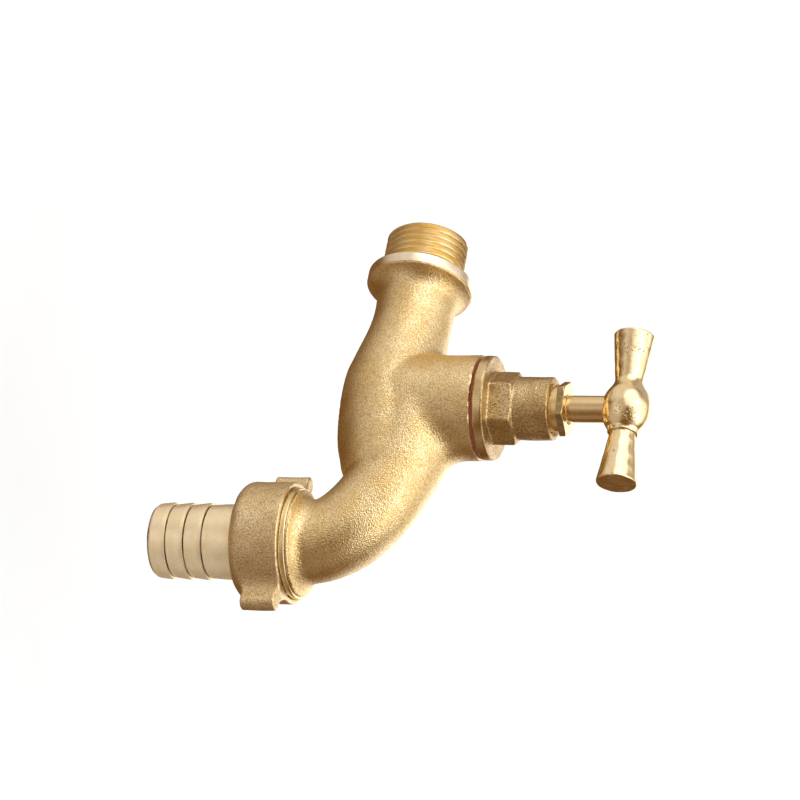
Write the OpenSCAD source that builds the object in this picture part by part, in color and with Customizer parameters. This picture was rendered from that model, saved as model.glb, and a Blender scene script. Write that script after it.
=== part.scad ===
// Brass hose bib (garden tap) with tee handle, union nut and barbed hose tail.
// The origin is the centre of the inlet flange's wall-side face, on the inlet axis.
// -X points into the wall, +X along the body to the spout, +Z up the spindle.
// The tap is drawn closed, with the union made up.

/* [Inlet] */
// Major diameter of the inlet thread, G 1/2
inlet_thread_d = 20.955; // [20.90:0.005:21.00]
// Length of the inlet thread in front of the flange
inlet_thread_len = 12; // [10:0.2:14]
// Pitch of both pipe threads, 14 threads per inch
pipe_pitch = 1.814; // [1.814]
// Diameter of the wall flange
flange_d = 27.3; // [26:0.1:30]
// Thickness of the wall flange
flange_t = 2.8; // [2:0.1:3.5]
// Diameter of the shallow relief turned in the flange face around the thread
relief_d = 22; // [21.5:0.1:23]
// Bore of the inlet
inlet_bore_d = 14.4; // [12:0.2:15]

/* [Body] */
// Distance from the flange to the spindle axis
spindle_x = 38.6; // [37:0.1:41]
// Distance from the flange to the outlet axis
outlet_x = 78.8; // [77:0.1:82]
// Outer diameter of the upright valve chamber
boss_d = 26.6; // [26:0.1:28]
// Height of the top face of the valve chamber
boss_top_z = 22.9; // [22.5:0.1:24]
// Radius of the belly around the valve seat
belly_r = 13.6; // [13.2:0.1:14]
// Outer diameter of the spout
spout_d = 20.6; // [20:0.1:22]
// Bore of the spout
spout_bore_d = 14.6; // [12:0.2:15]
// Diameter of the hole through the valve seat
seat_hole_d = 12; // [10:0.2:12.4]
// Height of the seat's rim
seat_z = 5; // [4.6:0.1:5.4]

/* [Outlet thread] */
// Major diameter of the outlet thread, G 3/4
outlet_thread_d = 26.441; // [26.40:0.001:26.48]
// Height of the machined collar's top face, below zero
outlet_collar_z = -17.4; // [-17.8:0.1:-17.2]
// Diameter of the machined collar
outlet_collar_d = 27.6; // [27:0.1:28]
// Thickness of the machined collar
outlet_collar_t = 1.6; // [1:0.1:2]
// Height of the outlet's end face
outlet_end_z = -27.3; // [-27.6:0.1:-26.8]

/* [Bonnet] */
// Thickness of the fibre sealing ring under the bonnet
bonnet_washer_t = 0.7; // [0.5:0.1:1]
// Diameter of the bonnet flange
bonnet_flange_d = 26.3; // [25.5:0.1:27]
// Thickness of the bonnet flange
bonnet_flange_t = 2.6; // [2:0.1:3]
// Width across the flats of the bonnet's hexagon
bonnet_hex_af = 16.4; // [16.2:0.1:18]
// Height of the bonnet's hexagon
bonnet_hex_h = 6.1; // [5:0.1:7]
// Outer diameter of the bonnet's round neck
bonnet_neck_d = 15.9; // [15:0.1:16.4]
// Height of the top of the neck
bonnet_top_z = 41.5; // [41:0.1:42]

/* [Spindle] */
// Diameter of the spindle's plain shaft
shaft_d = 6.64; // [6.4:0.01:6.8]
// Major diameter of the spindle thread
spindle_thread_d = 10; // [9.4:0.1:10.4]
// Lead of the spindle thread
spindle_lead = 2.5; // [2:0.1:3]
// Highest lift of the valve above its seat
valve_lift = 5; // [4:0.1:5.2]

/* [Handle] */
// Height of the centre of the handle
handle_z = 59.7; // [58:0.1:62]
// Length of the handle from tip to tip
handle_len = 40.8; // [36:0.2:46]
// Diameter of the handle's arms at the tips
handle_tip_d = 10; // [9:0.1:11]
// Diameter of the handle's arms beside the ball
handle_root_d = 6.8; // [6.6:0.1:8]
// Diameter of the handle's ball
handle_ball_d = 12.4; // [11.6:0.1:13]
// Angle of the handle about the spindle with the tap closed
handle_turn = 5.5; // [-15:0.5:15]

/* [Union nut] */
// Outer diameter of the union nut
nut_d = 30.6; // [30:0.1:32]
// Height of the nut's open rim
nut_rim_z = -19; // [-19.2:0.1:-18.8]
// Length of the union nut
nut_len = 13.9; // [13.6:0.1:15]
// Radius of the nut's rounded shoulder
nut_round = 3.2; // [3:0.1:5]
// Distance of the lugs' outer faces from the outlet axis
lug_reach = 20.9; // [19:0.1:22]
// Thickness of the lugs around the nut
lug_t = 4.2; // [3:0.1:5]
// Height of the lugs along the nut
lug_h = 9; // [8:0.1:9.6]
// Angle of the first lug around the outlet axis
lug_turn = -10; // [-90:1:90]

/* [Hose tail] */
// Diameter of the hose tail over its barbs, for a hose of 19 mm bore
barb_d = 19.3; // [18.9:0.1:20]
// Depth of the barbs
barb_depth = 0.45; // [0.3:0.05:0.8]
// Distance from one barb to the next
barb_pitch = 4.8; // [4:0.1:5.4]
// Number of barbs
barb_count = 3; // [2:1:3]
// Height of the lower end of the tail
tail_end_z = -55.4; // [-58:0.1:-55]
// Bore of the hose tail
tail_bore_d = 14.6; // [12:0.2:15]

/* [Hidden] */
$fn = 96;

// Small overlap that joins two shapes of one casting
joint = 0.4;
// Radial clearance of parts that turn or slide
run = 0.08;
// Radial clearance of screwed parts that stay put, and of loose rings
loose = 0.04;
// Depth of a Whitworth pipe thread and of the finer threads inside
pipe_depth = 1.162;
fine_depth = 0.7;
fine_pitch = 1.5;
// Depth of the relief in the wall face
relief_depth = 0.3;

boss_r = boss_d / 2;
outlet_r = outlet_thread_d / 2;
collar_r = outlet_collar_d / 2;
bonnet_seat_z = boss_top_z + bonnet_washer_t;
bonnet_hex_z = bonnet_seat_z + bonnet_flange_t;
bonnet_neck_z = bonnet_hex_z + bonnet_hex_h;
bonnet_hex_turn = 20;

// The screwed joint between bonnet and body
bonnet_thread_r = 11;
bonnet_thread_z = 14;
bonnet_recess_r = 8.2;

// The stuffing box at the top of the bonnet
box_r = 5.95;
box_z = 32.4;
packing_t = 1.5;
follower_z = box_z + 2 * packing_t;
follower_t = 1.2;
gland_z = follower_z + follower_t;
gland_hex_z = 43.4;
gland_hex_h = 1.8;
gland_hex_af = 12.6;
gland_hex_turn = -48;

// The valve: washer, jumper disc and stem, then the spindle standing on the disc
valve_r = 7.4;
tap_washer_t = 3;
jumper_z = seat_z + tap_washer_t;
jumper_t = 2;
jumper_stem_r = 2.5;
jumper_stem_len = 8;
jumper_tip_r = 1.6;
spindle_z = jumper_z + jumper_t;
bonnet_recess_z = spindle_z + valve_lift + 1.2;
spindle_top_z = handle_z + 1.4;
spindle_thread_z = bonnet_recess_z + 1;
spindle_thread_len = 8;
shaft_chamfer = 0.5;
thread_top_z = box_z - 1;

// The union: washer, then the tail's flange, then the nut's closed end
union_washer_t = 1.8;
tail_flange_t = 2;
tail_neck_r = 9.4;
barb_r = barb_d / 2;
barb_land = 0.9;
union_washer_z = outlet_end_z - union_washer_t;
tail_flange_z = union_washer_z - tail_flange_t;
nut_end_z = nut_rim_z - nut_len;

// The spout's centre line is two arcs: a wide one from the chamber, then a tight one that ends straight down.
// Each arc has a radius, a centre and the angle at which it starts and ends, from +X towards +Z.
bend_r = 17.5;
bend_angle = 48;
bend_centre = [outlet_x - bend_r, -18];
sweep_r = 42;
sweep_angle = 75;
sweep_centre = bend_centre - (sweep_r - bend_r) * [cos(bend_angle), sin(bend_angle)];
sweep_start = sweep_centre + sweep_r * [cos(sweep_angle), sin(sweep_angle)];
sweep_dir = [-sin(sweep_angle), cos(sweep_angle)];

// Outline of a screw thread as a stack of ridges with narrow flat crests, from height z0 upwards
function ridges(z0, len, pitch, crest, depth) =
    [for (i = [0 : floor(len / pitch) - 1], p = [[0, 0], [0.36, 1], [0.6, 1], [0.96, 0]])
        [crest - depth * (1 - p[1]), z0 + (i + p[0]) * pitch]];

// Outline of a quarter circle about a centre, from angle a0 to a1
function arc(x, y, r, a0, a1, n = 12) =
    [for (i = [0 : n]) let (a = a0 + (a1 - a0) * i / n) [x + r * cos(a), y + r * sin(a)]];

// Turns a shape drawn along +Z so that it points along +X
module along_x() {
    rotate([0, 90, 0]) children();
}

// Moves a shape to the spindle axis
module on_spindle(z = 0) {
    translate([spindle_x, 0, z]) children();
}

// Moves a shape to the outlet axis
module on_outlet(z = 0) {
    translate([outlet_x, 0, z]) children();
}

// A turned shape with a threaded length between two plain radii
module threaded_rod(z0, len, pitch, crest, depth) {
    points = ridges(z0, len, pitch, crest, depth);
    rotate_extrude()
        polygon(concat([[0, z0]], points, [[crest - depth, z0 + len], [0, z0 + len]]));
}

// A flat ring
module ring(outer, inner, h) {
    difference() {
        cylinder(r = outer, h = h);
        translate([0, 0, -1]) cylinder(r = inner, h = h + 2);
    }
}

// A hexagon with its upper corners turned off, across flats af
module hexagon(af, h, top_chamfer = true) {
    corner_r = af / sqrt(3);
    intersection() {
        cylinder(r = corner_r, h = h, $fn = 6);
        if (top_chamfer)
            cylinder(r1 = corner_r + 1.5 * h, r2 = af / 2 + 0.35, h = h + 0.01);
    }
}

// A cone between two points [x, z] of the plane y = 0
module taper(from, to, r0, r1) {
    step = to - from;
    translate([from[0], 0, from[1]])
        rotate([0, atan2(step[0], step[1]), 0])
            cylinder(r1 = r0, r2 = r1, h = norm(step));
}

// A ball at a point [x, z] of the plane y = 0, with its poles along X
module ball(at, r) {
    translate([at[0], 0, at[1]]) along_x() sphere(r = r);
}

// A round bar bent along an arc of the plane y = 0
module bent_bar(centre, bend, a0, a1, r) {
    translate([centre[0], 0, centre[1]])
        rotate([90, 0, 0])
            rotate(a0)
                rotate_extrude(angle = a1 - a0)
                    translate([bend, 0]) circle(r = r);
}

// The spout's two arcs, outside or bore
module spout_arcs(r) {
    bent_bar(bend_centre, bend_r, 0, bend_angle, r);
    bent_bar(sweep_centre, sweep_r, bend_angle - 1, sweep_angle, r - 0.03);
}

// Outside of the casting: inlet, neck, chamber and spout
module body_shell() {
    neck = [6, 0];
    waist = [22, -0.7];
    belly = [38, -1.4];
    throat = [46, -0.8];
    // Inlet thread
    along_x()
        translate([0, 0, -inlet_thread_len])
            threaded_rod(0, inlet_thread_len + relief_depth, pipe_pitch, inlet_thread_d / 2, pipe_depth);
    // Wall flange, with a relief around the thread, hollowed towards the neck
    along_x()
        rotate_extrude()
            polygon(concat([[0, relief_depth], [relief_d / 2, relief_depth], [relief_d / 2, 0],
                            [flange_d / 2 - 0.3, 0], [flange_d / 2, 0.3], [flange_d / 2, flange_t]],
                           arc(14.6, 7.6, 5, -120, -180), [[0, 7.6]]));
    // Neck, belly and the way into the spout
    taper(neck, waist, 10.2, 10.8);
    ball(waist, 10.95);
    taper(waist, belly, 10.85, belly_r - 0.1);
    ball(belly, belly_r);
    taper(belly, throat, belly_r - 0.1, 13.1);
    ball(throat, 13.2);
    taper(throat, [54, 0.2], 13, 11.4);
    // Upright chamber
    on_spindle()
        rotate_extrude()
            polygon([[0, 0], [boss_r, 0], [boss_r, boss_top_z - 0.4], [boss_r - 0.4, boss_top_z],
                     [0, boss_top_z]]);
    // Spout
    taper(sweep_start - 0.02 * sweep_dir, sweep_start + 16 * sweep_dir, spout_d / 2 + 0.02, 12);
    spout_arcs(spout_d / 2);
    // Flare, machined collar and outlet thread
    on_outlet()
        rotate_extrude()
            polygon(concat([[0, outlet_collar_z + 3.8]],
                           arc(collar_r + 0.2, outlet_collar_z + 3.8, 3.9, 180, 257),
                           [[collar_r - 0.3, outlet_collar_z], [collar_r, outlet_collar_z - 0.3],
                            [collar_r, outlet_collar_z - outlet_collar_t],
                            [0, outlet_collar_z - outlet_collar_t]]));
    on_outlet()
        threaded_rod(outlet_end_z, outlet_collar_z - outlet_collar_t - outlet_end_z, pipe_pitch,
                     outlet_r, pipe_depth);
}

// Passages inside the casting: inlet, chamber below the seat, chamber above it, spout
module body_passages() {
    lower = [spindle_x, -4.8];
    lower_r = 8.4;
    lower_round = 5;
    lower_floor_z = -12.4;
    upper_r = 9.4;
    upper_floor_z = seat_z - 1;
    dip = [31, -5];
    // Inlet, dropping under the seat
    along_x()
        translate([0, 0, -inlet_thread_len - 1])
            cylinder(d = inlet_bore_d, h = inlet_thread_len + 15);
    taper([12, 0], dip, inlet_bore_d / 2 - 0.1, 6);
    taper(dip, lower, 6.02, 6.3);
    on_spindle()
        rotate_extrude()
            polygon(concat([[0, lower_floor_z]],
                           arc(lower_r - lower_round, lower_floor_z + lower_round, lower_round, -90, 0),
                           [[lower_r, -1.5], [seat_hole_d / 2 + 0.4, 2], [0, 2]]));
    // Hole through the seat
    on_spindle() cylinder(d = seat_hole_d, h = seat_z + 1);
    // Upper chamber around a raised seat, and the bonnet's thread above it
    on_spindle()
        difference() {
            translate([0, 0, upper_floor_z])
                cylinder(r = upper_r, h = bonnet_thread_z - upper_floor_z);
            translate([0, 0, upper_floor_z - 1]) cylinder(r1 = 8, r2 = 6.8, h = 2);
        }
    on_spindle(bonnet_thread_z - 0.6) cylinder(r = bonnet_thread_r + loose, h = 30);
    // Spout
    taper([43, 10.6], sweep_start - 0.02 * sweep_dir, 4.8, spout_bore_d / 2 + 0.02);
    spout_arcs(spout_bore_d / 2);
    on_outlet(outlet_end_z - 1)
        cylinder(d = spout_bore_d + 0.1, h = bend_centre[1] - outlet_end_z + 1.02);
}

module body() {
    color("#c9a14e")
        difference() {
            body_shell();
            body_passages();
        }
}

module bonnet() {
    thread_len = bonnet_seat_z - bonnet_thread_z;
    color("#b8914a")
        on_spindle()
            difference() {
                union() {
                    threaded_rod(bonnet_thread_z, thread_len, fine_pitch, bonnet_thread_r, fine_depth);
                    translate([0, 0, bonnet_seat_z])
                        rotate_extrude()
                            polygon([[0, 0], [bonnet_flange_d / 2, 0],
                                     [bonnet_flange_d / 2, bonnet_flange_t - 0.5],
                                     [bonnet_flange_d / 2 - 0.5, bonnet_flange_t], [0, bonnet_flange_t]]);
                    translate([0, 0, bonnet_hex_z - joint])
                        rotate(bonnet_hex_turn) hexagon(bonnet_hex_af, bonnet_hex_h + joint);
                    rotate_extrude()
                        polygon(concat([[0, bonnet_neck_z - joint],
                                        [bonnet_neck_d / 2, bonnet_neck_z - joint]],
                                       arc(bonnet_neck_d / 2 - 0.8, bonnet_top_z - 0.8, 0.8, 0, 90, 6),
                                       [[0, bonnet_top_z]]));
                }
                // Room for the jumper disc
                translate([0, 0, bonnet_thread_z - 1])
                    cylinder(r = bonnet_recess_r, h = bonnet_recess_z - bonnet_thread_z + 1);
                // Spindle thread, spindle hole and stuffing box
                cylinder(r = spindle_thread_d / 2 + run, h = thread_top_z);
                cylinder(r = shaft_d / 2 + run, h = bonnet_top_z + 1);
                translate([0, 0, box_z]) cylinder(r = box_r + loose, h = bonnet_top_z);
                translate([0, 0, bonnet_top_z - 0.8]) cylinder(r1 = box_r, r2 = box_r + 1, h = 1);
            }
}

module bonnet_washer() {
    color("#8c3a22")
        on_spindle(boss_top_z)
            ring(bonnet_flange_d / 2 - 0.15, bonnet_thread_r + loose, bonnet_washer_t);
}

module spindle() {
    color("#d2aa58")
        on_spindle()
            difference() {
                union() {
                    // Plain lower end that stands on the jumper disc
                    translate([0, 0, spindle_z])
                        cylinder(r = spindle_thread_d / 2 - 0.9, h = spindle_thread_z - spindle_z + joint);
                    threaded_rod(spindle_thread_z, spindle_thread_len, spindle_lead / 2,
                                 spindle_thread_d / 2, 0.8);
                    // Shaft with a chamfered top
                    translate([0, 0, spindle_thread_z])
                        cylinder(d = shaft_d, h = spindle_top_z - shaft_chamfer - spindle_thread_z);
                    translate([0, 0, spindle_top_z - shaft_chamfer])
                        cylinder(d1 = shaft_d, d2 = shaft_d - 2 * shaft_chamfer, h = shaft_chamfer);
                }
                // Socket for the jumper's stem
                translate([0, 0, spindle_z - 1])
                    cylinder(r = jumper_stem_r + run, h = jumper_stem_len + 1.6);
                // Flat under the handle's screw
                translate([-5, shaft_d / 2 - 0.5, handle_z - 2.2]) cube([10, 5, 10]);
            }
}

module gland_nut() {
    color("#e0bb66")
        on_spindle()
            difference() {
                union() {
                    threaded_rod(gland_z, bonnet_top_z - gland_z, 1, box_r, 0.5);
                    translate([0, 0, bonnet_top_z - 0.1])
                        cylinder(r = box_r - 0.05, h = gland_hex_z - bonnet_top_z + joint);
                    translate([0, 0, gland_hex_z])
                        rotate(gland_hex_turn) hexagon(gland_hex_af, gland_hex_h);
                }
                translate([0, 0, gland_z - 1]) cylinder(r = shaft_d / 2 + run, h = 20);
            }
}

module gland_follower() {
    color("#cda453")
        on_spindle(follower_z)
            ring(box_r - loose, shaft_d / 2 + run, follower_t);
}

// One of the two identical packing rings in the stuffing box
module packing_ring(level) {
    color("#3b3834")
        on_spindle(box_z + level * packing_t)
            ring(box_r - loose, shaft_d / 2 + 0.03, packing_t);
}

module packing_ring_upper() {
    packing_ring(1);
}

module packing_ring_lower() {
    packing_ring(0);
}

module jumper_valve() {
    color("#c59d52")
        on_spindle() {
            translate([0, 0, jumper_z]) cylinder(r = valve_r, h = jumper_t);
            translate([0, 0, jumper_z + jumper_t - joint])
                cylinder(r = jumper_stem_r, h = jumper_stem_len + joint);
            translate([0, 0, seat_z - 3])
                cylinder(r = jumper_tip_r, h = jumper_z - seat_z + 3 + joint);
        }
}

module tap_washer() {
    color("#2b2b2b")
        on_spindle(seat_z)
            ring(valve_r - 0.2, jumper_tip_r + loose, tap_washer_t);
}

module jumper_nut() {
    color("#c8a35a")
        on_spindle(seat_z - 2.2)
            difference() {
                hexagon(5.5, 2.2, false);
                translate([0, 0, -1]) cylinder(r = jumper_tip_r + loose, h = 5);
            }
}

// One arm of the handle, along +X from the ball
module handle_arm() {
    root_x = handle_ball_d / 2;
    tip_x = handle_len / 2;
    along_x()
        rotate_extrude()
            polygon(concat([[0, 0], [handle_root_d / 2, 0], [handle_root_d / 2, root_x]],
                           arc(handle_tip_d / 2 - 0.4, tip_x - 0.4, 0.4, 0, 90, 4), [[0, tip_x]]));
}

// Raised ring at the root of one arm only
module handle_collar() {
    along_x()
        translate([0, 0, handle_ball_d / 2 - 0.5])
            cylinder(r = handle_root_d / 2 + 0.5, h = 1.3);
}

module handle() {
    color("#e8c074")
        on_spindle(handle_z)
            rotate(handle_turn)
                difference() {
                    union() {
                        sphere(d = handle_ball_d);
                        handle_arm();
                        handle_collar();
                        mirror([1, 0, 0]) handle_arm();
                    }
                    translate([0, 0, -handle_ball_d])
                        cylinder(r = shaft_d / 2 + loose, h = handle_ball_d + 2);
                    rotate([-90, 0, -handle_turn]) cylinder(r = 2 + loose, h = handle_ball_d);
                }
}

// Grub screw with a hexagon socket, square to the spindle
module handle_screw() {
    screw_len = 3;
    color("#6f6f72")
        on_spindle(handle_z)
            translate([0, shaft_d / 2 - 0.5 + loose, 0])
                rotate([-90, 0, 0])
                    difference() {
                        union() {
                            cylinder(r1 = 1.4, r2 = 2, h = 0.6);
                            translate([0, 0, 0.6]) cylinder(r = 2, h = screw_len - 0.6);
                        }
                        translate([0, 0, screw_len - 1.6]) cylinder(r = 1.15, h = 2, $fn = 6);
                    }
}

// One lug of the union nut, along +X, with rounded end corners and a fillet on each side of its root
module nut_lug() {
    wall_r = nut_d / 2;
    end_r = 1.9;
    root_r = 3.2;
    root_x = wall_r - 0.9;
    translate([0, 0, -lug_h]) {
        translate([wall_r - 2, -lug_t / 2, 0])
            cube([lug_reach - end_r - wall_r + 2, lug_t, lug_h]);
        translate([wall_r - 2, -lug_t / 2 + end_r, 0])
            cube([lug_reach - wall_r + 2, lug_t - 2 * end_r, lug_h]);
        for (side = [-1, 1]) {
            translate([lug_reach - end_r, side * (lug_t / 2 - end_r), 0]) cylinder(r = end_r, h = lug_h);
            difference() {
                translate([root_x - 1, side * lug_t / 2 - (side < 0 ? root_r : 0.1), 0])
                    cube([root_r + 1, root_r + 0.1, lug_h]);
                translate([root_x + root_r, side * (lug_t / 2 + root_r), -1])
                    cylinder(r = root_r, h = lug_h + 2);
            }
        }
    }
}

module union_nut() {
    inner_z = tail_flange_z - nut_end_z;
    mouth = 0.8;
    color("#bb9346")
        on_outlet()
            difference() {
                union() {
                    rotate_extrude()
                        polygon(concat([[0, nut_end_z]],
                                       arc(nut_d / 2 - nut_round, nut_end_z + nut_round, nut_round, -90, 0),
                                       [[nut_d / 2, nut_rim_z - 0.4], [nut_d / 2 - 0.4, nut_rim_z],
                                        [0, nut_rim_z]]));
                    for (side = [0, 180])
                        rotate(lug_turn + side) translate([0, 0, nut_rim_z - 0.5]) nut_lug();
                }
                translate([0, 0, tail_flange_z]) cylinder(r = outlet_r + run, h = 40);
                translate([0, 0, nut_end_z - 1]) cylinder(r = tail_neck_r + 0.3, h = inner_z + 2);
                // Chamfered mouth
                translate([0, 0, nut_rim_z - mouth])
                    cylinder(r1 = outlet_r + run, r2 = outlet_r + run + mouth + 0.1, h = mouth + 0.1);
            }
}

module union_washer() {
    color("#35332f")
        on_outlet(union_washer_z)
            ring(outlet_r - 0.2, tail_bore_d / 2 + 0.4, union_washer_t);
}

// Outline of one barb below height z, from its ledge downwards: a flat crest, then a slope inwards
function barb(z) =
    [[barb_r - barb_depth, z], [barb_r, z], [barb_r, z - barb_land], [barb_r - barb_depth, z - barb_pitch]];

module hose_tail() {
    first_z = tail_end_z + barb_count * barb_pitch;
    barbs = [for (i = [0 : barb_count - 1], p = barb(first_z - i * barb_pitch)) p];
    color("#e3c06c")
        on_outlet()
            difference() {
                rotate_extrude()
                    polygon(concat([[0, union_washer_z], [outlet_r - 0.2, union_washer_z],
                                    [outlet_r - 0.2, tail_flange_z], [tail_neck_r, tail_flange_z],
                                    [tail_neck_r, first_z + barb_pitch]],
                                   barbs, [[0, tail_end_z]]));
                translate([0, 0, tail_end_z - 1]) cylinder(d = tail_bore_d, h = 40);
                // Chamfer at the tip
                translate([0, 0, tail_end_z - 1])
                    difference() {
                        cylinder(r = barb_r + 2, h = 2);
                        cylinder(r1 = barb_r - 2, r2 = barb_r, h = 2);
                    }
            }
}

body();
bonnet();
bonnet_washer();
spindle();
gland_nut();
gland_follower();
packing_ring_upper();
packing_ring_lower();
jumper_valve();
tap_washer();
jumper_nut();
handle();
handle_screw();
union_nut();
union_washer();
hose_tail();
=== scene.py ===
import math

import bmesh
import bpy
import numpy as np
from mathutils import Matrix, Vector


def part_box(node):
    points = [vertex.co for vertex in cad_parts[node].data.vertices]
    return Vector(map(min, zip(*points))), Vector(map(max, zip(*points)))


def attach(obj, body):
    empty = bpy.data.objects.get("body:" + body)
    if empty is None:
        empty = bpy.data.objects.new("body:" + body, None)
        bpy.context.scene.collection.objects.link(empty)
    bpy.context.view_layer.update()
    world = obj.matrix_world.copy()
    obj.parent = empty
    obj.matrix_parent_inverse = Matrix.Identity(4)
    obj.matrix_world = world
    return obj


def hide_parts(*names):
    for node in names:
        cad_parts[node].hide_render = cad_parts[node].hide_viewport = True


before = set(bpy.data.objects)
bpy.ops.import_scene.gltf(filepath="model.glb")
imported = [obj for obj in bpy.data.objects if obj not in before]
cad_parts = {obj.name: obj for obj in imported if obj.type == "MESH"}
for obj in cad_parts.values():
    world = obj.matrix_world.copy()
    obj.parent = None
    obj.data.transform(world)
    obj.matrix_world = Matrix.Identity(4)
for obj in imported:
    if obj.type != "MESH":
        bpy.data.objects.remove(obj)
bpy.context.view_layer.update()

# Every length below is in millimetres of the shared frame; meshes are scaled to metres when made.
MM = 0.001


def cad(node):
    """Lowest and highest corner of a CAD node, in millimetres."""
    low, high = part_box(node)
    return np.array(low) / MM, np.array(high) / MM


# ---- Places taken from the CAD frame ----
ring_low, ring_high = cad("bonnet_washer")
nut_low, nut_high = cad("union_nut")
tail_low, tail_high = cad("hose_tail")
gland_low, gland_high = cad("gland_nut")
shaft_low, shaft_high = cad("spindle")
casting_low = cad("body")[0]
grip_high = cad("handle")[1]
bonnet_high = cad("bonnet")[1]
gasket_low = cad("union_washer")[0]

SPINDLE_X = (ring_low[0] + ring_high[0]) / 2
OUTLET_X = (tail_low[0] + tail_high[0]) / 2
INLET_END = casting_low[0]
OUTLET_END = casting_low[2]
BOSS_TOP = ring_low[2]
SEAT = ring_high[2]
NECK_TOP = bonnet_high[2]
NUT_RIM = nut_high[2]
NUT_END = nut_low[2]
FLANGE_UNDER_WASHER = gasket_low[2]
BALL_R = 6.2
GRIP_Z = grip_high[2] - BALL_R

# ---- Sizes of the visual details ----
PIPE_PITCH = 1.814
PIPE_DEPTH = 1.162
INLET_R = 10.6
FLANGE_R = 13.65
FLANGE_T = 2.8
INLET_BORE_R = 7.2
BOSS_R = 13.3
OUTLET_R = 13.22
COLLAR_R = 13.8
LIP_R = 13.35
COLLAR_TOP = -17.4
COLLAR_T = 1.6
SPOUT_BORE_R = 7.3
LOWER_ROOM_R = 8.4
UPPER_ROOM_R = 9.4
SEAT_HOLE_R = 6.0
SEAT_R = 6.8
SEAT_Z = 5.0
BONNET_HOLE_R = 11.4
BONNET_HOLE_Z = 13.6


# ---- Distances; x, y and z may be any arrays that broadcast together ----
def soft_min(a, b, k):
    """Union of two shapes, blended over a width k."""
    h = np.clip(0.5 + 0.5 * (b - a) / k, 0, 1)
    return b + (a - b) * h - k * h * (1 - h)


def fillet(a, b, r, lean=0.0):
    """Union of two shapes with a round fillet of radius r. lean is the cosine of the angle between
    their outward directions; it keeps shapes that run into each other at a slant from swelling."""
    u, v = r - a, r - b
    p = np.maximum(u - lean * v, 0)
    q = np.maximum(v - lean * u, 0)
    reach = np.sqrt(p * p + q * q + 2 * lean * p * q) / (1 - lean * lean)
    return np.where((p > 0) & (q > 0), r - reach, np.minimum(a, b))


def rounded(a, b, r):
    """Intersection of two shapes with its edge rounded to radius r."""
    return np.minimum(-r, np.maximum(a, b)) + np.hypot(np.maximum(r + a, 0), np.maximum(r + b, 0))


def smoothstep(x, start, end):
    t = np.clip((x - start) / (end - start), 0, 1)
    return t * t * (3 - 2 * t)


def hexagon(x, y, across_flats, turn, r):
    """A hexagon about the Z axis with corners rounded to radius r."""
    distance = -1e3
    for k in range(3):
        angle = math.radians(turn + 30 + 60 * k)
        side = np.abs(x * math.cos(angle) + y * math.sin(angle)) - across_flats / 2
        distance = rounded(distance, side, r)
    return distance


def bar(x, y, z, path):
    """A round bar whose centre line runs in the plane y = 0. Each row of the path is x, z and radius."""
    distance = 1e3
    for (x0, z0, r0), (x1, z1, r1) in zip(path[:-1], path[1:]):
        dx, dz = x1 - x0, z1 - z0
        t = np.clip(((x - x0) * dx + (z - z0) * dz) / (dx * dx + dz * dz), 0, 1)
        off = np.hypot(x - x0 - t * dx, z - z0 - t * dz)
        distance = np.minimum(distance, np.hypot(off, y) - r0 - t * (r1 - r0))
    return distance


def spline(points, count):
    """A smooth path through shape points, sampled at about count places."""
    p = np.array(points, float)
    p = np.vstack([2 * p[0] - p[1], p, 2 * p[-1] - p[-2]])
    rows = []
    for i in range(1, len(p) - 2):
        for t in np.arange(0, 1, (len(points) - 1) / count):
            a, b, c, d = p[i - 1], p[i], p[i + 1], p[i + 2]
            rows.append(b + 0.5 * t * (c - a + t * (2 * a - 5 * b + 4 * c - d + t * (3 * (b - c) + d - a))))
    rows.append(p[-2])
    return np.array(rows)


def ripple(x, y, z, size, height):
    """Low, slow unevenness of a cast surface."""
    k = 2 * math.pi / size
    return height * (np.sin(k * (x + 0.6 * z) + 1.3 * np.sin(0.7 * k * y))
                     + np.sin(k * (0.8 * y - 0.7 * z) + 1.1 * np.sin(0.6 * k * x) + 2)) / 2


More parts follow.
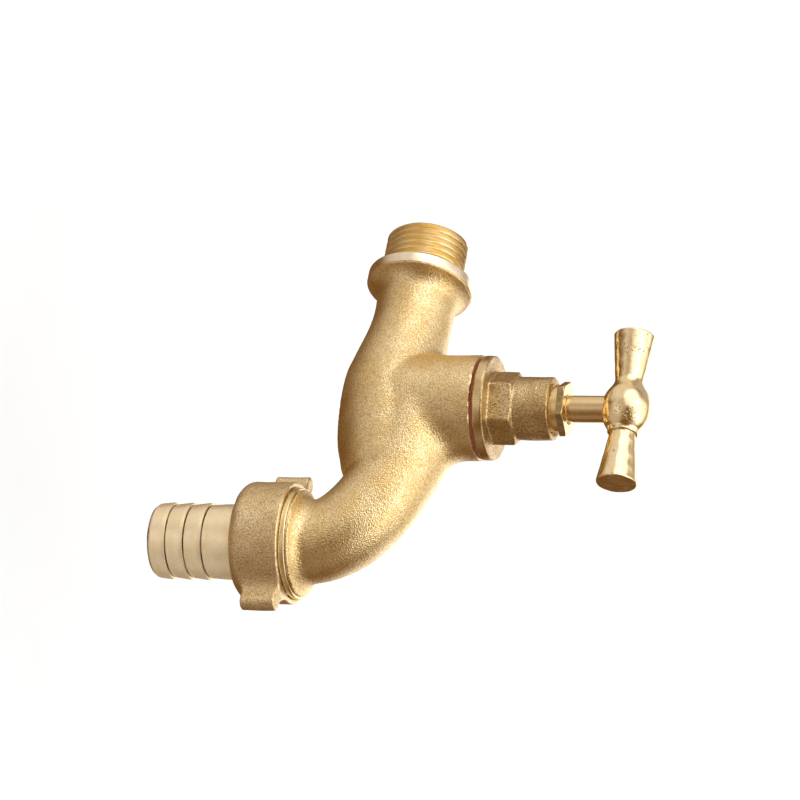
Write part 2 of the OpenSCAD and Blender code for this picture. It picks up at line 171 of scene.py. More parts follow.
# ---- Meshes ----
def surface(field, low, high, step):
    """Mesh of the zero surface of a distance field inside a box: vertices and quads."""
    axes = [np.arange(low[i], high[i] + step, step, dtype=np.float32) for i in range(3)]
    x, y, z = np.meshgrid(*axes, indexing="ij", sparse=True)
    values = np.broadcast_to(field(x, y, z), [len(a) for a in axes]).astype(np.float32)
    inside = values < 0
    corners = [(i, j, k) for i in (0, 1) for j in (0, 1) for k in (0, 1)]
    shape = np.array(values.shape) - 1
    count = np.zeros(shape, np.int8)
    for i, j, k in corners:
        count += inside[i:i + shape[0], j:j + shape[1], k:k + shape[2]]
    cells = np.argwhere((count > 0) & (count < 8))
    number = np.full(shape, -1, np.int64)
    number[tuple(cells.T)] = np.arange(len(cells))
    total = np.zeros((len(cells), 3))
    crossings = np.zeros(len(cells))
    for a in corners:
        for axis in range(3):
            if a[axis]:
                continue
            b = tuple(1 if n == axis else a[n] for n in range(3))
            va = values[tuple((cells + a).T)]
            vb = values[tuple((cells + b).T)]
            cross = (va < 0) != (vb < 0)
            t = np.where(cross, va / np.where(cross, va - vb, 1), 0)
            place = cells + np.array(a) + t[:, None] * (np.array(b) - np.array(a))
            total += place * cross[:, None]
            crossings += cross
    points = total / crossings[:, None] * step + np.array(low)
    for _ in range(4):
        points = points - pull(field, points, 0.3 * step)
    quads = []
    for axis in range(3):
        u, v = (axis + 1) % 3, (axis + 2) % 3
        first = [slice(None)] * 3
        second = [slice(None)] * 3
        first[axis], second[axis] = slice(None, -1), slice(1, None)
        a, b = inside[tuple(first)], inside[tuple(second)]
        edges = np.argwhere(a != b)
        across, along = edges[:, u], edges[:, v]
        edges = edges[(across > 0) & (along > 0) & (across < shape[u]) & (along < shape[v])]
        goes_out = a[tuple(edges.T)]
        around = []
        for du, dv in ((1, 1), (0, 1), (0, 0), (1, 0)):
            cell = edges.copy()
            cell[:, u] -= du
            cell[:, v] -= dv
            around.append(number[tuple(cell.T)])
        quad = np.stack(around, 1)
        quad[~goes_out] = quad[~goes_out][:, ::-1]
        quads.append(quad)
    return points, np.vstack(quads)


def pull(field, points, longest):
    """Step that brings points onto the zero surface of a field."""
    h = 0.02
    value = field(points[:, 0], points[:, 1], points[:, 2])
    slope = np.zeros_like(points)
    for axis in range(3):
        shift = np.zeros(3)
        shift[axis] = h
        a, b = points + shift, points - shift
        slope[:, axis] = (field(a[:, 0], a[:, 1], a[:, 2]) - field(b[:, 0], b[:, 1], b[:, 2])) / (2 * h)
    step = (value / np.maximum((slope ** 2).sum(1), 0.3))[:, None] * slope
    length = np.linalg.norm(step, axis=1, keepdims=True)
    return step * np.minimum(1, longest / np.maximum(length, 1e-9))


def soften(profile):
    """Rounds the corners of an outline of points (r, h, radius) that have a radius."""
    points = np.array([p[:2] for p in profile], float)
    out = []
    for i, corner in enumerate(profile):
        p = points[i]
        before, after = points[i - 1] - p, points[(i + 1) % len(points)] - p
        la, lb = np.linalg.norm(before), np.linalg.norm(after)
        r = corner[2] if len(corner) > 2 else 0
        turn = math.acos(float(np.clip(before @ after / (la * lb), -1, 1)))
        if r == 0 or turn > 3.1:
            out.append(p)
            continue
        reach = min(r / math.tan(turn / 2), 0.49 * la, 0.49 * lb)
        a, b = p + before / la * reach, p + after / lb * reach
        for t in np.linspace(0, 1, 6):
            out.append((1 - t) ** 2 * a + 2 * t * (1 - t) * p + t ** 2 * b)
    return np.array(out)


def lathe(profile, segments=160, thread=None):
    """A closed outline (r, h) turned about the Z axis. With thread = (low, high, pitch, shape), the helical
    rows are put in after the outline point nearest the thread's start; shape(h, phase) gives their radius."""
    outline = soften(profile)
    angles = np.arange(segments) / segments
    rows_r = [np.full(segments, p[0]) for p in outline]
    rows_h = [np.full(segments, p[1]) for p in outline]
    shift = [0] * len(outline)
    if thread:
        low, high, pitch, shape = thread
        per_turn = 16
        count = int(math.ceil((high - low) / pitch + 1) * per_turn) + 1
        at = int(np.argmin([np.hypot(r - shape(low, 0), h - low) for r, h in outline])) + 1
        helix_r, helix_h = [], []
        for k in range(count):
            h = np.clip(low + (k / per_turn - 1 + angles) * pitch, low, high)
            helix_h.append(h)
            helix_r.append(shape(h, (k % per_turn) / per_turn))
        rows_r[at:at] = helix_r
        rows_h[at:at] = helix_h
        shift[at:at] = [min(per_turn, count - 1 - k) for k in range(count)]
    r, h = np.array(rows_r), np.array(rows_h)
    turn = 2 * math.pi * angles
    points = np.stack([r * np.cos(turn), r * np.sin(turn), h], 2).reshape(-1, 3)
    rows = len(r)
    faces = []
    for k in range(rows):
        n = (k + 1) % rows
        lower = k * segments + np.arange(segments - 1)
        upper = n * segments + np.arange(segments - 1)
        faces.append(np.stack([lower, lower + 1, upper + 1, upper], 1))
        last = segments - 1
        faces.append([[k * segments + last, (k + shift[k]) * segments,
                       (n + shift[n]) * segments, n * segments + last]])
    return points, np.vstack(faces)


def along_x(points):
    """Turns a shape made along Z so that it lies along X."""
    return points[:, [2, 0, 1]]


def piece(name, shape, finish, body, stands_for, sharp_deg=30, clean=True):
    """A mesh object that rides on a CAD body and stands for one CAD node."""
    points, faces = shape
    mesh = bpy.data.meshes.new(name)
    mesh.from_pydata((np.asarray(points) * MM).tolist(), [], np.asarray(faces).tolist())
    obj = bpy.data.objects.new(name, mesh)
    bpy.context.scene.collection.objects.link(obj)
    if clean:
        tidy(mesh)
    mesh.shade_smooth()
    mesh.set_sharp_from_angle(angle=math.radians(sharp_deg))
    mesh.materials.append(finish)
    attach(obj, body)
    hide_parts(stands_for)
    return obj


def tidy(mesh):
    """Welds doubled points, drops collapsed faces and turns the normals outwards."""
    work = bmesh.new()
    work.from_mesh(mesh)
    bmesh.ops.remove_doubles(work, verts=work.verts, dist=0.002 * MM)
    bmesh.ops.dissolve_degenerate(work, edges=work.edges, dist=0.002 * MM)
    bmesh.ops.recalc_face_normals(work, faces=work.faces)
    work.to_mesh(mesh)
    work.free()


Z_AXIS = (0.0, 0.0, 1.0)
X_AXIS = (1.0, 0.0, 0.0)


# ---- Finishes ----
class Finish:
    """A procedural material; lengths in its patterns are millimetres."""

    def __init__(self, name):
        self.material = bpy.data.materials.new(name)
        self.material.use_nodes = True
        self.tree = self.material.node_tree
        self.shader = self.tree.nodes["Principled BSDF"]
        self.point = self.add("ShaderNodeTexCoord").outputs["Object"]
        self.bumps = None

    def add(self, kind, **settings):
        node = self.tree.nodes.new(kind)
        for key, value in settings.items():
            setattr(node, key, value)
        return node

    def put(self, socket, value):
        """Sets an input to a value, or links it to an output."""
        if isinstance(value, bpy.types.NodeSocket):
            self.tree.links.new(value, socket)
        else:
            socket.default_value = value

    def math(self, kind, a, b=0.0):
        node = self.add("ShaderNodeMath", operation=kind)
        self.put(node.inputs[0], a)
        self.put(node.inputs[1], b)
        return node.outputs[0]

    def vector(self, kind, a, b=(0, 0, 0), out="Vector"):
        node = self.add("ShaderNodeVectorMath", operation=kind)
        self.put(node.inputs[0], a)
        self.put(node.inputs[1], b)
        return node.outputs[out]

    def span(self, value, low, high, to_low=0.0, to_high=1.0):
        """Maps a value from one range to another, smoothly, and holds it at the ends."""
        node = self.add("ShaderNodeMapRange", interpolation_type="SMOOTHSTEP")
        for socket, v in zip(node.inputs, (value, low, high, to_low, to_high)):
            self.put(socket, v)
        return node.outputs[0]

    def mix(self, share, a, b):
        node = self.add("ShaderNodeMix", data_type="RGBA")
        self.put(node.inputs[0], share)
        self.put(node.inputs[6], (*a, 1) if isinstance(a, tuple) else a)
        self.put(node.inputs[7], (*b, 1) if isinstance(b, tuple) else b)
        return node.outputs[2]

    def noise(self, size, detail=2.0, seed=0.0):
        """Noise with features of about the given size."""
        scaled = self.vector("MULTIPLY", self.point, (1 / (size * MM),) * 3)
        # The offsets keep the noise's own grid off the planes x = 0, y = 0 and z = 0
        place = self.vector("ADD", scaled, (seed + 0.37, 3 * seed + 0.71, 7 * seed + 0.53))
        node = self.add("ShaderNodeTexNoise")
        self.put(node.inputs["Vector"], place)
        self.put(node.inputs["Scale"], 1.0)
        self.put(node.inputs["Detail"], detail)
        return node.outputs["Fac"]

    def cells(self, size, seed=0.0):
        """Distance from the middle of small random cells, for close-set dimples."""
        node = self.add("ShaderNodeTexVoronoi")
        scaled = self.vector("MULTIPLY", self.point, (1 / (size * MM),) * 3)
        self.put(node.inputs["Vector"], self.vector("ADD", scaled, (seed, seed, seed)))
        self.put(node.inputs["Scale"], 1.0)
        return node.outputs["Distance"]

    def pits(self, size, threshold, seed=0.0):
        """1 inside small round hollows, 0 elsewhere."""
        return self.span(self.cells(size, seed), threshold, 0.5 * threshold)

    def round_axis(self, origin, axis):
        """Height along an axis and distance from it."""
        off = self.vector("SUBTRACT", self.point, tuple(c * MM for c in origin))
        radius = self.vector("LENGTH", self.vector("CROSS_PRODUCT", off, axis), out="Value")
        return self.vector("DOT_PRODUCT", off, axis, "Value"), radius

    def lines(self, origin, axis, spacing, seed=0.0):
        """Turning marks round an axis: fine rings on cylinders and on flat faces."""
        height, radius = self.round_axis(origin, axis)
        node = self.add("ShaderNodeTexNoise", noise_dimensions="1D")
        self.put(node.inputs["W"], self.math("ADD", self.math("MULTIPLY", self.math("ADD", height, radius),
                                                               1 / (spacing * MM)), seed))
        self.put(node.inputs["Scale"], 1.0)
        self.put(node.inputs["Detail"], 3.0)
        return node.outputs["Fac"]

    def brushed(self, origin, axis, strength):
        """Draws reflections out across the turning marks."""
        off = self.vector("SUBTRACT", self.point, tuple(c * MM for c in origin))
        around = self.vector("CROSS_PRODUCT", axis, off)
        turn = self.add("ShaderNodeVectorTransform", vector_type="VECTOR",
                        convert_from="OBJECT", convert_to="WORLD")
        self.put(turn.inputs[0], around)
        self.put(self.shader.inputs["Tangent"], self.vector("NORMALIZE", turn.outputs[0]))
        self.put(self.shader.inputs["Anisotropic"], strength)
        self.put(self.shader.inputs["Anisotropic Rotation"], 0.25)

    def bump(self, height, depth, strength=1.0):
        """Adds relief of the given depth in millimetres."""
        node = self.add("ShaderNodeBump")
        node.inputs["Strength"].default_value = strength
        node.inputs["Distance"].default_value = depth * MM
        self.put(node.inputs["Height"], height)
        if self.bumps is not None:
            self.put(node.inputs["Normal"], self.bumps)
        self.bumps = node.outputs["Normal"]

    def done(self, colour, roughness, metallic=1.0):
        self.put(self.shader.inputs["Base Color"], (*colour, 1) if isinstance(colour, tuple) else colour)
        self.put(self.shader.inputs["Roughness"], roughness)
        self.put(self.shader.inputs["Metallic"], metallic)
        if self.bumps is not None:
            self.put(self.shader.inputs["Normal"], self.bumps)
        return self.material


PALE_BRASS = (0.97, 0.85, 0.58)
LIGHT_BRASS = (0.95, 0.80, 0.47)
BRASS = (0.87, 0.68, 0.34)
DEEP_BRASS = (0.58, 0.36, 0.12)
DARK_BRASS = (0.32, 0.18, 0.06)
# The next colour is painted shade for the roots of turned grooves
GROOVE_SHADE_BRASS = (0.50, 0.27, 0.06)


def grainy(name, light, dark, deep, contrast, grain, depth, roughness, wear, seed, machined=None):
    """Sand-cast brass after shot blasting: fine grain, cloudy tone, worn edges. Between the two heights
    of machined it's a smooth turned face instead."""
    f = Finish(name)
    smooth = 0.0
    if machined:
        height = f.vector("DOT_PRODUCT", f.point, Z_AXIS, "Value")
        low, high = machined
        smooth = f.math("MULTIPLY", f.span(height, (low - 0.1) * MM, low * MM),
                        f.span(height, (high + 0.1) * MM, high * MM))
    rough_share = f.math("SUBTRACT", 1.0, f.math("MULTIPLY", smooth, 0.8))
    cloud = f.noise(6.0, 3.0, seed=seed)
    speck = f.noise(grain, 2.0, seed=seed + 5)
    dimple = f.cells(grain * 0.9, seed + 3)
    tone = f.mix(f.span(cloud, 0.35, 0.65), light, dark)
    tone = f.mix(f.math("MULTIPLY", f.span(speck, 0.56, 0.38, 0.0, contrast), rough_share), tone, deep)
    edge = f.span(f.add("ShaderNodeNewGeometry").outputs["Pointiness"], 0.53, 0.6)
    tone = f.mix(f.math("MULTIPLY", edge, wear), tone, PALE_BRASS)
    rough = f.span(speck, 0.3, 0.7, roughness + 0.08, roughness - 0.06)
    rough = f.math("SUBTRACT", rough, f.math("MULTIPLY", edge, 0.2 * wear))
    rough = f.math("SUBTRACT", rough, f.math("MULTIPLY", smooth, 0.08))
    f.bump(f.math("MULTIPLY", f.math("ADD", dimple, speck), rough_share), depth)
    return f.done(tone, rough)


def turned(name, origin, axis, colour, roughness, spacing, depth, seed, brush=0.5, groove_shade=None, metallic=1.0,
           groove_shade_tone=GROOVE_SHADE_BRASS):
    """Brass left from the lathe tool: bright, with fine rings and faint handling marks. The shaded groove is
    a pair of radii; painted shade darkens the brass from the first radius to the second."""
    f = Finish(name)
    marks = f.lines(origin, axis, spacing, seed)
    broad = f.lines(origin, axis, spacing * 7, seed + 3)
    smudge = f.noise(3.0, 3.0, seed=seed + 2)
    tone = f.mix(f.span(smudge, 0.4, 0.7, 0.0, 0.4), colour, BRASS)
    tone = f.mix(f.span(marks, 0.6, 0.3, 0.0, 0.4), tone, DEEP_BRASS)
    rough = f.span(smudge, 0.3, 0.7, roughness - 0.04, roughness + 0.08)
    rough = f.math("ADD", rough, f.math("MULTIPLY", marks, 0.05))
    # Painted shade and painted dark reflection darken the groove roots, in patches; the roots are also made
    # rougher
    if groove_shade:
        start, end = groove_shade
        deep = f.span(f.round_axis(origin, axis)[1], end * MM, start * MM, 1.0, 0.0)
        share = f.math("MULTIPLY", deep, f.span(f.noise(5.0, 1.0, seed=seed + 4), 0.4, 0.6, 0.6, 1.0))
        tone = f.mix(share, tone, groove_shade_tone)
        rough = f.math("ADD", rough, f.math("MULTIPLY", deep, 0.15))
    f.bump(f.math("ADD", marks, f.math("MULTIPLY", broad, 0.6)), depth)
    f.brushed(origin, axis, brush)
    return f.done(tone, rough, metallic)


def milled(name, origin, axis, shank_r):
    """The gland nut: bright turned shank and top; the milled flats carry painted shade in their colour and
    are rougher.
    """
    f = Finish(name)
    marks = f.lines(origin, axis, 0.12)
    upright = f.vector("DOT_PRODUCT", f.add("ShaderNodeTexCoord").outputs["Normal"], axis, "Value")
    flat = f.math("MULTIPLY", f.span(f.round_axis(origin, axis)[1], shank_r * MM, (shank_r + 0.08) * MM),
                  f.span(upright, 0.35, 0.1))
    mottle = f.noise(1.4, 3.0, seed=5)
    tone = f.mix(f.span(marks, 0.6, 0.3, 0.0, 0.4), (0.94, 0.76, 0.42), DEEP_BRASS)
    # Painted shade: the milled flats are darkened, in a mottled way
    tone = f.mix(f.math("MULTIPLY", flat, f.span(mottle, 0.35, 0.65, 0.95, 0.65)), tone, (0.34, 0.24, 0.10))
    f.bump(marks, 0.014)
    return f.done(tone, f.math("ADD", f.span(mottle, 0.3, 0.7, 0.2, 0.3), f.math("MULTIPLY", flat, 0.1)))


def polished(name, origin, axis):
    """Polished brass: casting pits, mostly on the undersides, scuffs, and darker turned end faces."""
    f = Finish(name)
    normal = f.add("ShaderNodeTexCoord").outputs["Normal"]
    below = f.math("MULTIPLY", f.vector("DOT_PRODUCT", normal, (0, 0, -1), "Value"), 0.09)
    end = f.math("ABSOLUTE", f.vector("DOT_PRODUCT", normal, axis, "Value"))
    end = f.span(end, 0.9, 0.97)
    patch = f.span(f.math("ADD", f.noise(4.5, 2.0, seed=4), below), 0.54, 0.62)
    pits = f.math("MULTIPLY", f.pits(0.65, 0.38, 2.0), patch)
    small = f.math("MULTIPLY", f.pits(0.45, 0.26, 6.0), f.span(f.noise(3.0, 1.0, seed=8), 0.6, 0.7))
    hollow = f.math("MAXIMUM", pits, small)
    marks = f.lines(origin, axis, 0.12)
    tone = f.mix(f.span(f.noise(3.5, 3.0, seed=9), 0.4, 0.7, 0.0, 0.6), (1.0, 0.86, 0.55), (0.95, 0.74, 0.38))
    tone = f.mix(f.math("MULTIPLY", hollow, 0.7), tone, DARK_BRASS)
    tone = f.mix(f.math("MULTIPLY", end, f.span(marks, 0.3, 0.7, 0.95, 0.55)), tone, (0.68, 0.48, 0.25))
    rough = f.span(f.noise(2.2, 3.0, seed=3), 0.35, 0.7, 0.1, 0.22)
    rough = f.math("ADD", rough, f.math("MULTIPLY", hollow, 0.3))
    rough = f.math("ADD", rough, f.math("MULTIPLY", end, 0.15))
    f.bump(f.math("SUBTRACT", f.math("MULTIPLY", marks, 0.12), hollow), 0.07)
    f.bump(f.noise(2.4, 2.0, seed=12), 0.1)
    return f.done(tone, rough)


def plain(name, light, dark, size, depth, roughness, metallic=0.0):
    """Rubber, fibre, graphite or steel: mottled tone and fine relief."""
    f = Finish(name)
    grain = f.noise(size, 3.0, seed=1)
    broad = f.noise(size * 8, 2.0, seed=2)
    tone = f.mix(f.span(grain, 0.35, 0.65), dark, light)
    tone = f.mix(f.span(broad, 0.45, 0.7, 0.0, 0.5), tone, dark)
    f.bump(grain, depth)
    return f.done(tone, f.span(broad, 0.3, 0.7, roughness - 0.08, roughness + 0.08), metallic)


SPINDLE = (SPINDLE_X, 0.0, 0.0)
OUTLET = (OUTLET_X, 0.0, 0.0)
HANDLE_TURN = math.radians(5.5)
ARM = (math.cos(HANDLE_TURN), math.sin(HANDLE_TURN), 0.0)
GRIP = (SPINDLE_X, 0.0, GRIP_Z)

cast_brass = grainy("cast_brass", LIGHT_BRASS, BRASS, (0.48, 0.28, 0.07), 0.52, 0.42, 0.08, 0.36, 0.3, 1.0)
forged_brass = grainy("forged_brass", (0.82, 0.66, 0.37), (0.64, 0.46, 0.21), (0.28, 0.17, 0.06),
                      0.62, 0.42, 0.09, 0.34, 0.9, 21.0, (SEAT, SEAT + 2.3))
nut_brass = grainy("nut_brass", (0.91, 0.77, 0.49), (0.84, 0.67, 0.38), (0.42, 0.26, 0.09),
                   0.58, 0.4, 0.09, 0.44, 0.7, 41.0, (NUT_RIM - 0.2, NUT_RIM + 1))
# Painted shade darkens the thread valleys below the pale crests
thread_brass = turned("thread_brass", (0, 0, 0), X_AXIS, (1.0, 0.94, 0.76), 0.2, 0.1, 0.012, 2.0, 0.2,
                      groove_shade=(10.5, 10.25), groove_shade_tone=(0.90, 0.69, 0.31))
outlet_brass = turned("outlet_brass", OUTLET, Z_AXIS, (0.97, 0.84, 0.54), 0.24, 0.1, 0.012, 5.0, 0.4)
# The near-black tone is painted shade and painted dark reflection at the barb ledge roots and inside the bore
tail_brass = turned("tail_brass", OUTLET, Z_AXIS, (1.0, 0.86, 0.59), 0.28, 0.14, 0.012, 9.0, 0.5,
                    groove_shade=(9.15, 9.0), metallic=0.66, groove_shade_tone=(0.10, 0.055, 0.025))
shaft_brass = turned("shaft_brass", SPINDLE, Z_AXIS, (0.90, 0.72, 0.42), 0.17, 0.13, 0.014, 14.0, 0.2)
gland_brass = milled("gland_brass", SPINDLE, Z_AXIS, 5.96)
handle_brass = polished("handle_brass", GRIP, ARM)
inner_brass = turned("inner_brass", SPINDLE, Z_AXIS, BRASS, 0.32, 0.16, 0.014, 25.0)
fibre = plain("red_fibre", (0.28, 0.06, 0.015), (0.13, 0.03, 0.01), 0.25, 0.05, 0.85)
graphite = plain("graphite_packing", (0.07, 0.07, 0.075), (0.02, 0.02, 0.02), 0.3, 0.06, 0.5, 0.3)
rubber = plain("black_rubber", (0.035, 0.034, 0.033), (0.015, 0.015, 0.015), 0.35, 0.03, 0.62)
steel = plain("dark_steel", (0.32, 0.32, 0.33), (0.14, 0.14, 0.15), 0.3, 0.02, 0.38, 1.0)

# ---- Casting ----
# Shape points of the two centre lines: x, z and radius
BELLY = spline([(0, 0, 10.6), (13, 0, 10.1), (22, -0.65, 10.8), (30, -1.2, 12.2), (38, -1.25, 13.6),
                (46, -0.7, 13.1), (54, 0.2, 11.6)], 30)
SPOUT = spline([(38.6, 5.7, 13.2), (47, 5.1, 12.2), (57.5, 3.2, 10.9), (66.6, -0.4, 10.45),
                (73.6, -5.4, 10.35), (77.6, -11.2, 10.2), (OUTLET_X, -17.3, 10.3)], 48)
# The spout's waterway leaves the chamber high up and soon follows the spout's own centre line
SPOUT_BORE = SPOUT[20:].copy()
SPOUT_BORE[:, 2] = SPOUT_BORE_R
SPOUT_BORE = np.vstack([[43, 10.6, 4.8], SPOUT_BORE])
DROP = spline([(11, 0, 7.1), (20, -1.8, 6.7), (31, -5, 6.2), (38.6, -4.8, 6.3)], 12)


def casting_outside(x, y, z):
    spindle_r = np.hypot(x - SPINDLE_X, y)
    outlet_r = np.hypot(x - OUTLET_X, y)
    inlet_r = np.hypot(y, z)
    run = soft_min(bar(x, y, z, BELLY), bar(x, y, z, SPOUT), 0.6)
    boss = np.maximum(rounded(spindle_r - BOSS_R, z - BOSS_TOP, 0.3), -z)
    # The spout leans away from the chamber; the belly runs level
    tilt = 0.45 * smoothstep(x, SPINDLE_X + 2, SPINDLE_X + 20)
    height = z - 4.5 * smoothstep(x, SPINDLE_X - 8, SPINDLE_X)
    side = y / np.maximum(np.hypot(y, height), 0.1) * np.sqrt(1 - tilt * tilt)
    lean = ((x - SPINDLE_X) * tilt + y * side) / np.maximum(spindle_r, 0.1)
    radius = 2.6 + 4.4 * smoothstep(x, SPINDLE_X - 6, SPINDLE_X + 10)
    run = fillet(run, boss, radius, np.clip(lean, 0, 0.97))
    # The run flares out to the machined rim of the wall flange and to the machined collar
    rim = rounded(inlet_r - FLANGE_R + 0.12, x - FLANGE_T - 0.05, 0.1)
    run = np.maximum(fillet(run, rim, 4.9), np.minimum(inlet_r - FLANGE_R + 0.12, 10 - x))
    lip = rounded(outlet_r - LIP_R, z + 16.8, 0.3)
    run = np.maximum(fillet(run, lip, 3.6), np.minimum(outlet_r - LIP_R, -12 - z))
    return run + ripple(x, y, z, 9.0, 0.05)


def casting_inside(x, y, z):
    spindle_r = np.hypot(x - SPINDLE_X, y)
    inlet = np.maximum(np.hypot(y, z) - INLET_BORE_R - 0.15, x - 13)
    below = rounded(spindle_r - LOWER_ROOM_R, np.abs(z + 7) - 5.4, 4.0)
    hole = np.maximum(spindle_r - SEAT_HOLE_R, np.abs(z - 2) - 4)
    # The seat stands up as a cone in the floor of the upper room
    seat = np.maximum(spindle_r - SEAT_R - 0.6 * (SEAT_Z - z), z - SEAT_Z)
    above = np.maximum(np.maximum(spindle_r - UPPER_ROOM_R, np.abs(z - 9.2) - 5.2), -seat)
    thread = np.maximum(spindle_r - BONNET_HOLE_R, BONNET_HOLE_Z - z)
    outlet = bar(x, y, z, SPOUT_BORE)
    passages = soft_min(soft_min(inlet, bar(x, y, z, DROP), 1.0), below, 1.5)
    passages = np.minimum(np.minimum(passages, hole), np.minimum(above, thread))
    return np.minimum(passages, outlet)


def casting(x, y, z):
    shell = np.maximum(casting_outside(x, y, z), -casting_inside(x, y, z))
    return np.maximum(np.maximum(shell, 1.6 - x), COLLAR_TOP + 0.15 - z)


coarse = 1.0
shape = surface(casting, (1.0, -15.0, -18.0), (93.4, 15.0, 23.6), 0.45 * coarse)
piece("casting", shape, cast_brass, "casting", "body", 40, clean=False)


# ---- Inlet thread and wall flange ----
def pipe_thread(crest, low, high, run_in, run_out):
    """Radius of a pipe thread with narrow rounded crests, a chamfered start and a relief at its end."""
    def shape(h, phase):
        wave = 0.5 + 0.5 * math.asin(0.93 * math.cos(2 * math.pi * phase)) / math.asin(0.93)
        fade = np.clip((h - low) / run_in, 0, 1) * np.clip((high - h) / run_out, 0, 1)
        return crest - PIPE_DEPTH * (1 - fade * wave ** 1.9)
    return shape


INLET_RUN_OUT = -0.9
inlet_root = INLET_R - PIPE_DEPTH
inlet_shape = pipe_thread(INLET_R, INLET_END, INLET_RUN_OUT, 0.5, 0.4)
inlet_profile = [(INLET_BORE_R, FLANGE_T), (INLET_BORE_R, INLET_END, 0.5), (inlet_root, INLET_END),
                 (inlet_root, INLET_RUN_OUT), (inlet_root, 0.3, 0.2), (11.0, 0.3), (11.0, 0.0, 0.1),
                 (FLANGE_R, 0.0, 0.35), (FLANGE_R, FLANGE_T, 0.08), (12.4, FLANGE_T)]
points, faces = lathe(inlet_profile, thread=(INLET_END, INLET_RUN_OUT, PIPE_PITCH, inlet_shape))
piece("inlet_end", (along_x(points), faces), thread_brass, "casting", "body", 38)

# ---- Machined collar and outlet thread ----
collar_base = COLLAR_TOP - COLLAR_T
outlet_root = OUTLET_R - PIPE_DEPTH
run_out = collar_base - 0.7
outlet_shape = pipe_thread(OUTLET_R, OUTLET_END, run_out, 0.6, 0.4)
outlet_profile = [(SPOUT_BORE_R + 0.1, COLLAR_TOP + 0.4), (SPOUT_BORE_R + 0.1, OUTLET_END, 0.4),
                  (outlet_root, OUTLET_END), (outlet_root, run_out), (outlet_root, collar_base, 0.2),
                  (COLLAR_R, collar_base, 0.3), (COLLAR_R, COLLAR_TOP - 0.2, 0.5),
                  (LIP_R - 0.1, COLLAR_TOP - 0.1, 0.15), (LIP_R - 0.4, COLLAR_TOP - 0.4),
                  (LIP_R - 0.6, COLLAR_TOP + 0.4)]
points, faces = lathe(outlet_profile, thread=(OUTLET_END, run_out, PIPE_PITCH, outlet_shape))
piece("outlet_end", (points + np.array(OUTLET), faces), outlet_brass, "casting", "body", 38)

# ---- Fibre ring ----
ring_r = (ring_high[0] - ring_low[0]) / 2 - 0.25
ring_profile = [(11.2, BOSS_TOP), (11.2, SEAT), (ring_r, SEAT, 0.15), (ring_r, BOSS_TOP, 0.15)]
points, faces = lathe(ring_profile)
piece("fibre_ring", (points + np.array(SPINDLE), faces), fibre, "casting", "bonnet_washer")

# ---- Bonnet ----
BONNET_R = 13.15
BONNET_T = 2.6
HEX_TOP = SEAT + 8.7
HEX_AF = 16.4
HEX_TURN = 20
NECK_R = 7.95
BOX_R = 6.05
BOX_FLOOR = 32.4
SCREW_R = 10.85
SCREW_MIDDLE = 19.2
STEM_HOLE_R = 3.45
STEM_THREAD_R = 5.08
RECESS_R = 8.2
RECESS_TOP = 16.2


def bonnet(x, y, z):
    px = x - SPINDLE_X
    r = np.hypot(px, y)
    half = BONNET_T / 2
    flange = rounded(r - BONNET_R, np.abs(z - SEAT - half) - half, 0.45)
    # A steep cone takes the corners off the top of the hexagon
    corner_cut = (r - HEX_AF / 2 - 0.35 - 1.64 * (HEX_TOP - z)) * 0.52
    nut = rounded(hexagon(px, y, HEX_AF, HEX_TURN, 0.35), np.maximum(z - HEX_TOP, SEAT - z), 0.3)
    nut = rounded(nut, corner_cut, 0.25)
    neck = rounded(r - NECK_R, np.maximum(z - NECK_TOP, SEAT - z), 0.45)
    outside = fillet(fillet(flange, nut, 0.5), neck, 0.35)
    outside = outside + ripple(px, y, z, 5.0, 0.06)
    screw = np.maximum(r - SCREW_R, np.abs(z - SCREW_MIDDLE) - 5.0)
    box = np.maximum(r - BOX_R, BOX_FLOOR - z)
    mouth = r - BOX_R - np.maximum(z - NECK_TOP + 0.8, -0.4) * 1.05
    stem = np.minimum(r - STEM_HOLE_R, np.maximum(r - STEM_THREAD_R, z - BOX_FLOOR + 1.0))
    hole = np.minimum(stem, np.maximum(r - RECESS_R, z - RECESS_TOP))
    hollow = np.minimum(np.minimum(box, hole), np.maximum(mouth, NECK_TOP - 1.4 - z))
    return np.maximum(np.minimum(outside, screw), -hollow)


low = (SPINDLE_X - 13.8, -13.8, 13.8)
high = (SPINDLE_X + 13.8, 13.8, NECK_TOP + 0.6)
shape = surface(bonnet, low, high, 0.26 * coarse)
piece("bonnet_forging", shape, forged_brass, "casting", "bonnet", 50, clean=False)


# ---- Gland nut ----
GLAND_HEX_Z = gland_high[2] - 1.8
GLAND_AF = 12.6
GLAND_TURN = -48
SHANK_R = 5.9


def gland(x, y, z):
    px = x - SPINDLE_X
    r = np.hypot(px, y)
    top = gland_high[2]
    head = rounded(hexagon(px, y, GLAND_AF, GLAND_TURN, 0.15), np.maximum(z - top, GLAND_HEX_Z - z), 0.1)
    # A shallow cone takes the corners off the top face
    head = rounded(head, (r - GLAND_AF / 2 - 0.35 - 2.2 * (top - z)) * 0.41, 0.1)
    shank = np.maximum(r - SHANK_R, np.maximum(z - GLAND_HEX_Z - 0.3, gland_low[2] - z))
    mouth = r - 3.5 - np.maximum(z - top + 0.45, 0)
    return np.maximum(fillet(head, shank, 0.15), -mouth)


low = (SPINDLE_X - 7.6, -7.6, gland_low[2] - 0.3)
high = (SPINDLE_X + 7.6, 7.6, gland_high[2] + 0.3)
shape = surface(gland, low, high, 0.16 * coarse)
piece("gland_nut_turned", shape, gland_brass, "casting", "gland_nut", 35, clean=False)

# ---- Spindle ----
SHAFT_R = 3.37
STEM_THREAD_LOW, STEM_THREAD_HIGH = 17.6, 25.0
STEM_ROOT_R = 4.1
STEM_PITCH = 2.5


